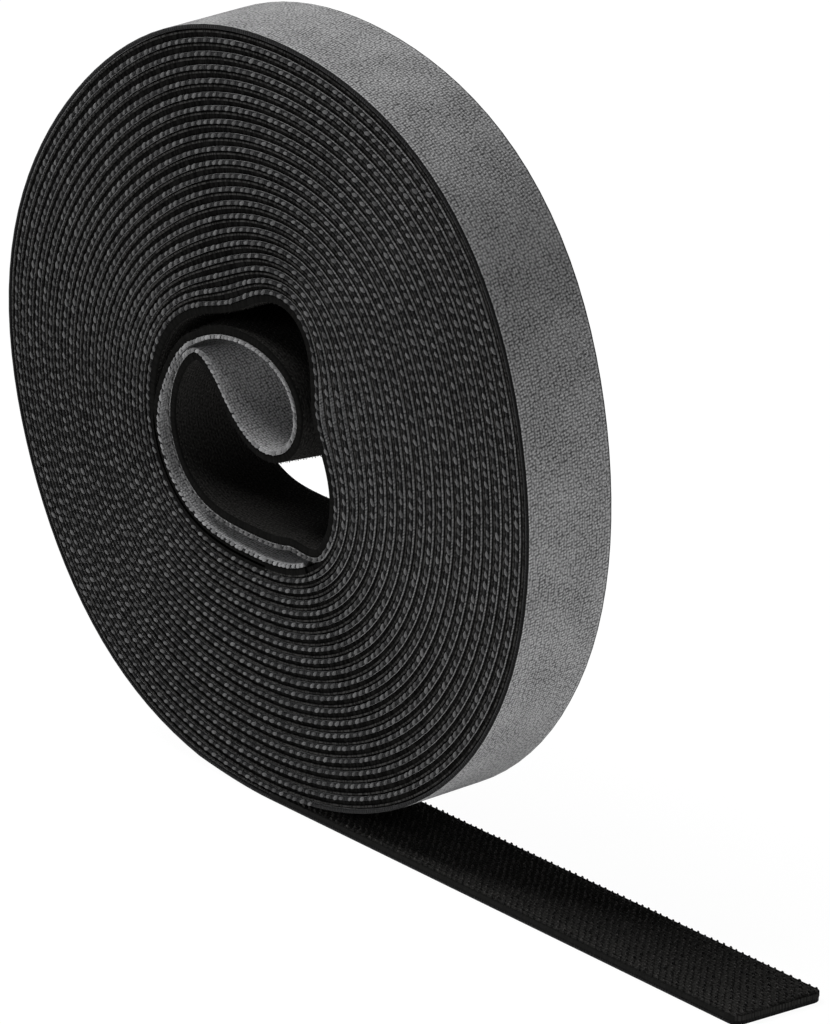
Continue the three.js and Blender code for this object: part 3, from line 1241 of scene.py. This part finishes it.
        sockets = {"Curve": bent, "Profile Curve": ring, "Fill Caps": True}
        hook = tree.term("GeometryNodeCurveToMesh", None, sockets)
        size = tree.size("height") * cls.chance(tree, cls.HOOK_SIZE, Seed.HOOK_SIZE)
        scale = tree.vector(size, size, size)
        sockets = {"Points": placed, "Instance": hook, "Rotation": rotation, "Scale": scale}
        stood = tree.term("GeometryNodeInstanceOnPoints", None, sockets)
        shade = cls.chance(tree, cls.SHADE, Seed.HOOK_SHADE)
        tree.close(tree.store(stood, "shade", shade, "FLOAT", "INSTANCE"))
        return tree


@dataclass
class Stretch:
    """One stretch of tape: its two webs, the knots along its edges and its hooks.

    Lengths are in millimetres, apart from a hook's thickness, which is a share of its height. Full rows
    of hooks show where the hook side is open. Elsewhere it is packed against the next turn, and only
    its edge and the rows beside it show.
    """

    name: str
    first: float
    last: float
    route: Route
    loom: Loom
    finishes: Finishes
    tape: Tape = field(default_factory=Tape)
    loop_width: float = 14.6
    hook_width: float = 14.4
    packed_width: float = 13.7
    packed_web: float = 0.3
    tip_round: float = 0.0
    selvedges: bool = True
    # the knots of such a stretch take the lighter copy of the yarn: painted light
    loose: bool = False
    knot_pitch: float = 1.6
    knot_place: float = 7.24
    knot_length: float = 1.2
    knot_height: float = 0.56
    knot_depth: float = 0.44
    knot_lean: float = 0.35
    hook_pile: float = 0.84
    hook_pitch: float = 2.15
    hook_height: float = 0.3
    hook_thickness: float = 0.3
    hook_segments: int = 4
    hook_sides: int = 3
    hook_rows: int = 2
    row_gap: float = 1.12
    row_margin: float = 0.15
    full_rows: bool = False
    ground: Ground = Ground.PACKED
    pieces: list[bpy.types.Object] = field(default_factory=list)

    def build(self) -> "Stretch":
        """Makes the stretch's meshes.

        Returns:
            This stretch.
        """
        tape = self.tape
        finishes = self.finishes
        ground = finishes.grounds[self.ground]
        loop = (tape.loop_web, tape.loop_middle)
        hooks = tape.hook_layer(self.hook_pile)
        thin = (self.packed_web, tape.hook_face + self.packed_web / 2)
        self.add_strip("loop_ribbon", loop, self.loop_width, finishes.loop)
        self.add_strip("hook_ribbon", hooks if self.full_rows else thin, self.hook_width, ground)
        if not self.full_rows:
            # the packed hook pile, in its painted-shade colour
            self.add_strip("packed_hooks", hooks, self.packed_width, finishes.packed_hooks)
        for edge in Edge if self.selvedges else ():
            self.add_selvedge(edge)
        across = self.row_gap * (self.hook_rows - 1)
        if self.full_rows:
            self.add_hooks("hooks", -across / 2)
        else:
            outer = self.hook_width / 2 - self.row_margin
            self.add_hooks("near_hooks", -outer)
            self.add_hooks("far_hooks", outer - across)
        return self

    def keep(self, piece: bpy.types.Object) -> None:
        """Keeps a piece and reports it."""
        self.pieces.append(piece)
        LOG.info("%s: %d faces", piece.name, len(piece.data.polygons))

    def line(self) -> bpy.types.Mesh:
        """A fresh copy of the stretch's line."""
        return self.route.cut(self.first, self.last, f"{self.name}_line")

    def spread(self, pitch: float) -> dict[str, float | int]:
        """Length, pitch and count for what repeats along the stretch."""
        length = self.last - self.first
        count = max(1, round(length / pitch))
        return {"length": length * MM, "pitch": length / count * MM, "count": count}

    def add_strip(self, part: str, layer: Span, width: float, finish: bpy.types.Material) -> None:
        """Sweeps one strip along the stretch.

        Args:
            part: What the piece is called.
            layer: Its thickness, and its middle from the bond line.
            width: Its width.
            finish: Its material.
        """
        thickness, middle = layer
        piece = self.loom.web.bake(
            f"{self.name}_{part}", self.line(), width=width * MM, thickness=thickness * MM,
            middle=middle * MM, corner=self.tape.rounding(thickness) * MM, tip=self.tip_round * MM,
            finish=finish,
        )
        self.keep(piece)

    def add_selvedge(self, edge: Edge) -> None:
        """Sets the knots along one edge.

        Args:
            edge: Which edge.
        """
        piece = self.loom.selvedge.bake(
            f"{self.name}_{edge.name.lower()}_selvedge", self.line(), **self.spread(self.knot_pitch),
            across=edge.value * self.knot_place * MM, middle=self.tape.loop_middle * MM,
            knot_length=self.knot_length * MM, knot_height=self.knot_height * MM,
            knot_depth=self.knot_depth * MM, lean=self.knot_lean,
            finish=self.finishes.loose_yarn if self.loose else self.finishes.yarn,
        )
        self.keep(piece)

    def add_hooks(self, part: str, first_row: float) -> None:
        """Stands rows of hooks on the stretch.

        Args:
            part: What the piece is called.
            first_row: Where the first row is, across the tape.
        """
        piece = self.loom.hooks.bake(
            f"{self.name}_{part}", self.line(), **self.spread(self.hook_pitch), rows=self.hook_rows,
            first_row=first_row * MM, row_gap=self.row_gap * MM,
            face=(self.tape.hook_face - self.hook_pile) * MM, height=self.hook_height * MM,
            thickness=self.hook_thickness, segments=self.hook_segments, sides=self.hook_sides,
            finish=self.finishes.filament,
        )
        self.keep(piece)

    def ride(self, body: str) -> None:
        """Fixes the whole stretch to one body."""
        for piece in self.pieces:
            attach(piece, body)

    def bend(self, first: str, second: str, start: np.ndarray, end: np.ndarray) -> None:
        """Bakes each piece's placement into its mesh, without bending it or fixing it to a body.

        Args:
            first: The body that it leaves; not used.
            second: The body that it joins; not used.
            start: Where the bend starts, as x and z in millimetres; not used.
            end: Where it ends; not used.
        """
        for piece in self.pieces:
            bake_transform(piece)

    def cut_aslant(self, place: np.ndarray, away: np.ndarray) -> None:
        """Cuts the whole stretch by a plane across the tape, and closes what the cut leaves open.

        Args:
            place: A point on the plane, in millimetres.
            away: The plane's normal, on the side that is cut off.
        """
        for piece in self.pieces:
            work = bmesh.new()
            work.from_mesh(piece.data)
            parts = [*work.verts, *work.edges, *work.faces]
            bmesh.ops.bisect_plane(work, geom=parts, plane_co=place * MM, plane_no=away, clear_outer=True)
            bmesh.ops.holes_fill(work, edges=[edge for edge in work.edges if edge.is_boundary])
            bmesh.ops.recalc_face_normals(work, faces=work.faces)
            work.to_mesh(piece.data)
            work.free()

    def slant_end(self, start: float, end: float, slant: float) -> None:
        """Draws the far corner of a flat stretch out past its near corner.

        Args:
            start: Where the drawing out starts, along x in millimetres.
            end: Where the stretch ends.
            slant: How far the far corner goes.
        """
        for piece in self.pieces:
            places = np.zeros(len(piece.data.vertices) * 3)
            piece.data.vertices.foreach_get("co", places)
            rows = places.reshape(-1, 3)
            share = fade(rows[:, 0] / MM, (start, end))
            rows[:, 0] += slant * MM * share * (rows[:, 1] / MM / self.tape.width + 0.5)
            piece.data.vertices.foreach_set("co", rows.ravel())
            piece.data.update()

    def stand_for(self, loop_node: str, hook_node: str) -> None:
        """Hides the two solids that the stretch stands for."""
        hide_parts(loop_node)
        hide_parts(hook_node)


@dataclass
class TapeRoll:
    """The whole tape, in stretches, most of them fixed to the frame's bodies, with lengths in millimetres."""

    IN_BORE = {
        "full_rows": True, "ground": Ground.BORE, "hook_rows": 19, "row_gap": 0.76, "hook_pitch": 1.15,
        "hook_height": 0.2, "hook_pile": 0.6, "hook_segments": 5, "hook_sides": 4,
    }
    ON_TAIL = {
        "full_rows": True, "ground": Ground.TAIL, "hook_rows": 22, "row_gap": 0.66, "hook_pitch": 1.25,
        "hook_height": 0.38, "hook_pile": 0.12, "hook_segments": 5, "hook_sides": 4,
        "hook_thickness": 0.62, "hook_width": 14.8, "selvedges": False,
    }

    tape: Tape = field(default_factory=Tape)
    winding: Winding = field(default_factory=Winding)
    inner: InnerEnd = field(default_factory=InnerEnd)
    tail: Tail = field(default_factory=Tail)
    outer_turn: float = 352.0
    bare_wall: float = 120.0
    strand_knots: float = 1.1
    fold_knots: float = 0.8
    fold_lead: float = 2.5
    bend_before: float = 2.0
    bend_after: float = 4.0

    def __post_init__(self) -> None:
        """Lays the line and makes the trees and the materials."""
        self.route = Route(self.tape, self.winding, self.inner, self.tail)
        self.loom = Loom()
        self.finishes = Finishes.made(self.route.strand_from)

    def made(self, name: str, first: float, last: float, **sizes: Any) -> Stretch:
        """Builds one stretch of the line."""
        return Stretch(name, first, last, self.route, self.loom, self.finishes, **sizes).build()

    def build(self) -> None:
        """Builds every stretch, and fixes each to its body, apart from the fold and the tail's links."""
        self.build_turns()
        self.build_inner_end()
        self.build_tail()

    def build_turns(self) -> None:
        """Builds the outermost turn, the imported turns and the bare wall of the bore."""
        tail = self.tail
        root = tail.reach - tail.hinge(1) + tail.link_pitch / 2
        packed = root + self.outer_turn
        wall = self.route.strand_from - self.bare_wall
        self.made("outer_turn", root, packed, selvedges=False).ride("roll")
        wound = self.made("wound", packed, wall)
        wound.ride("roll")
        wound.stand_for("roll_loop_web", "roll_hook_web")
        self.made("wall", wall, self.route.strand_from, **self.IN_BORE).ride("roll")

    def build_inner_end(self) -> None:
        """Builds the strand, the fold and the cut end."""
        route = self.route
        fold_from = route.fold_from - self.fold_lead
        fold_to = route.fold_to + self.fold_lead
        sizes = {"knot_pitch": self.strand_knots, **self.IN_BORE}
        self.made("strand", route.strand_from, fold_from, **sizes).ride("roll")
        fold = self.made("fold", fold_from, fold_to, knot_pitch=self.fold_knots, loose=True, **self.IN_BORE)
        start = route.pinch - route.heading * self.bend_before
        fold.bend("roll", "fold", start, route.pinch + route.heading * self.bend_after)
        fold.stand_for("fold_loop_web", "fold_hook_web")
        end = self.made("inner_end", fold_to, route.along[-1], loose=True, **sizes)
        end.cut_aslant(*self.slanted_cut())
        end.ride("roll")
        end.stand_for("inner_end_loop_web", "inner_end_hook_web")

    def slanted_cut(self) -> tuple[np.ndarray, np.ndarray]:
        """Where the inner end is cut: a point at its near corner, and the cut plane's normal."""
        last, before = self.route.points[-1], self.route.points[-2]
        along = (last - before) / np.linalg.norm(last - before)
        slant = math.radians(self.inner.cut_slant)
        place = np.array([last[0], Edge.NEAR.value * self.tape.width / 2, last[1]])
        return place, np.array([along[0] * math.cos(slant), math.sin(slant), along[1] * math.cos(slant)])

    def build_tail(self) -> None:
        """Builds the tail, one stretch about each joint and one to the cut end."""
        tail = self.tail
        half = tail.link_pitch / 2
        height = self.tape.floor_to_bond
        for link in range(1, tail.links + 1):
            hinge = tail.hinge(link)
            first = tail.reach - hinge - half
            stretch = self.made(f"tail_{link}", first, first + tail.link_pitch, **self.ON_TAIL)
            before = "roll" if link == 1 else f"tail_{link - 1}"
            start, end = hinge - tail.bend_reach, hinge + tail.bend_reach
            stretch.bend(before, f"tail_{link}", np.array([start, height]), np.array([end, height]))
            stretch.stand_for(f"tail_loop_web_{link}", f"tail_hook_web_{link}")
        tip = self.made("tail_tip", 0.0, half, tip_round=tail.tip_round, **self.ON_TAIL)
        tip.slant_end(tail.reach - half, tail.reach, tail.tip_slant)
        tip.ride(f"tail_{tail.links}")


@dataclass(frozen=True)
class Studio:
    """Pale floor that also glows as a painted light table, soft light from above and from the front, and the
    photograph's camera.

    Angles are in degrees. The camera's lengths and the floor's height are in millimetres, and the lamps'
    places and the sizes of lamps and floor are in metres.
    """

    azimuth: float = 50.02
    elevation: float = 20.03
    distance: float = 710.5
    shift_right: float = 16.88
    shift_up: float = -14.30
    axis_height: float = 57.25
    lens: float = 175.8
    sensor: float = 36.0
    nearest: float = 10.0
    floor_height: float = -0.15
    floor_size: float = 6.0
    floor_tone: Colour = (0.85, 0.85, 0.85)
    floor_white: float = 0.93
    # painted light: the floor's glow to all rays but the camera's, which lights the object from below
    table_glow: float = 0.55
    sky: float = 0.06
    aim: Place = (0.0, 0.0, 0.05)
    top_place: Place = (-0.76, -0.25, 1.33)
    top_size: float = 0.7
    top_light: float = 22.0
    front_place: Place = (-0.75, -1.1, 0.5)
    front_size: float = 0.6
    front_light: float = 2.8

    def camera(self) -> None:
        """Sets the camera at the photograph's viewing angle."""
        turn, rise = math.radians(self.azimuth), math.radians(self.elevation)
        right = Vector((math.cos(turn), math.sin(turn), 0.0))
        back = Vector((math.sin(turn) * math.cos(rise), -math.cos(turn) * math.cos(rise), math.sin(rise)))
        up = back.cross(right)
        target = Vector((0.0, 0.0, self.axis_height)) + right * self.shift_right + up * self.shift_up
        place = (target + back * self.distance) * MM
        data = bpy.data.cameras.new("camera")
        data.lens = self.lens
        data.sensor_width = self.sensor
        data.clip_start = self.nearest * MM
        camera = bpy.data.objects.new("camera", data)
        camera.matrix_world = Matrix(
            [(right[i], up[i], back[i], place[i]) for i in range(3)] + [(0.0, 0.0, 0.0, 1.0)]
        )
        bpy.context.scene.collection.objects.link(camera)
        bpy.context.scene.camera = camera

    @staticmethod
    def seen(graph: Graph) -> Term:
        """One for rays from the camera, from gloss and through glass, else nought."""
        path = graph.node("ShaderNodeLightPath")
        rays = [Term(graph, path.outputs[f"Is {kind} Ray"]) for kind in ("Camera", "Glossy", "Transmission")]
        return graph.math("MINIMUM", rays[0] + rays[1] + rays[2], 1.0)

    def floor(self) -> None:
        """Lays the floor, near white to the camera and with the object's shadow on it, and glowing to all
        other rays as a painted light table that lights the object from below.
        """
        half, height = self.floor_size / 2, self.floor_height * MM
        mesh = bpy.data.meshes.new("floor")
        corners = [(-half, -half, height), (half, -half, height), (half, half, height), (-half, half, height)]
        mesh.from_pydata(corners, [], [(0, 1, 2, 3)])
        material = bpy.data.materials.new("pale_floor")
        material.use_nodes = True
        graph = Graph(material.node_tree)
        graph.tree.nodes.clear()
        bare = graph.node("ShaderNodeBsdfDiffuse", None, {"Color": (*self.floor_tone, 1.0)})
        # painted light: the floor glows like a light table under the object
        painted_table_light = graph.node("ShaderNodeEmission", None, {"Color": WHITE, "Strength": self.table_glow})
        matt_and_glow = graph.node("ShaderNodeAddShader", None, {0: bare.outputs[0], 1: painted_table_light.outputs[0]})
        glow = graph.node("ShaderNodeEmission", None, {"Color": WHITE, "Strength": 1.0})
        sockets = {0: self.seen(graph) * self.floor_white, 1: matt_and_glow.outputs[0], 2: glow.outputs[0]}
        mixed = graph.node("ShaderNodeMixShader", None, sockets)
        graph.node("ShaderNodeOutputMaterial", None, {"Surface": mixed.outputs[0]})
        mesh.materials.append(material)
        floor = bpy.data.objects.new("floor", mesh)
        bpy.context.scene.collection.objects.link(floor)

    def world(self) -> None:
        """White behind the object, and a dimmer even light from all round."""
        world = bpy.data.worlds.new("studio")
        world.use_nodes = True
        graph = Graph(world.node_tree)
        graph.tree.nodes.clear()
        sky = graph.node("ShaderNodeBackground", None, {"Color": WHITE, "Strength": self.sky})
        white = graph.node("ShaderNodeBackground", None, {"Color": WHITE, "Strength": 1.0})
        sockets = {0: self.seen(graph), 1: sky.outputs[0], 2: white.outputs[0]}
        mixed = graph.node("ShaderNodeMixShader", None, sockets)
        graph.node("ShaderNodeOutputWorld", None, {"Surface": mixed.outputs[0]})
        bpy.context.scene.world = world

    def lamp(self, name: str, place: Place, size: float, power: float) -> None:
        """Adds a square soft light that points at the roll.

        Args:
            name: The lamp's name.
            place: Where it is.
            size: Its side.
            power: Its power in watts.
        """
        data = bpy.data.lights.new(name, "AREA")
        data.size = size
        data.energy = power
        lamp = bpy.data.objects.new(name, data)
        lamp.location = place
        lamp.rotation_euler = (Vector(self.aim) - Vector(place)).to_track_quat("-Z", "Y").to_euler()
        bpy.context.scene.collection.objects.link(lamp)

    def build(self) -> None:
        """Builds the whole studio."""
        self.camera()
        self.floor()
        self.world()
        self.lamp("soft_top", self.top_place, self.top_size, self.top_light)
        self.lamp("soft_front", self.front_place, self.front_size, self.front_light)
        bpy.context.scene.view_settings.view_transform = "Standard"


def main() -> None:
    """Builds the studio and the roll."""
    logging.basicConfig(level=logging.INFO, format="%(message)s")
    Studio().build()
    TapeRoll().build()


if __name__ == "__main__":
    main()
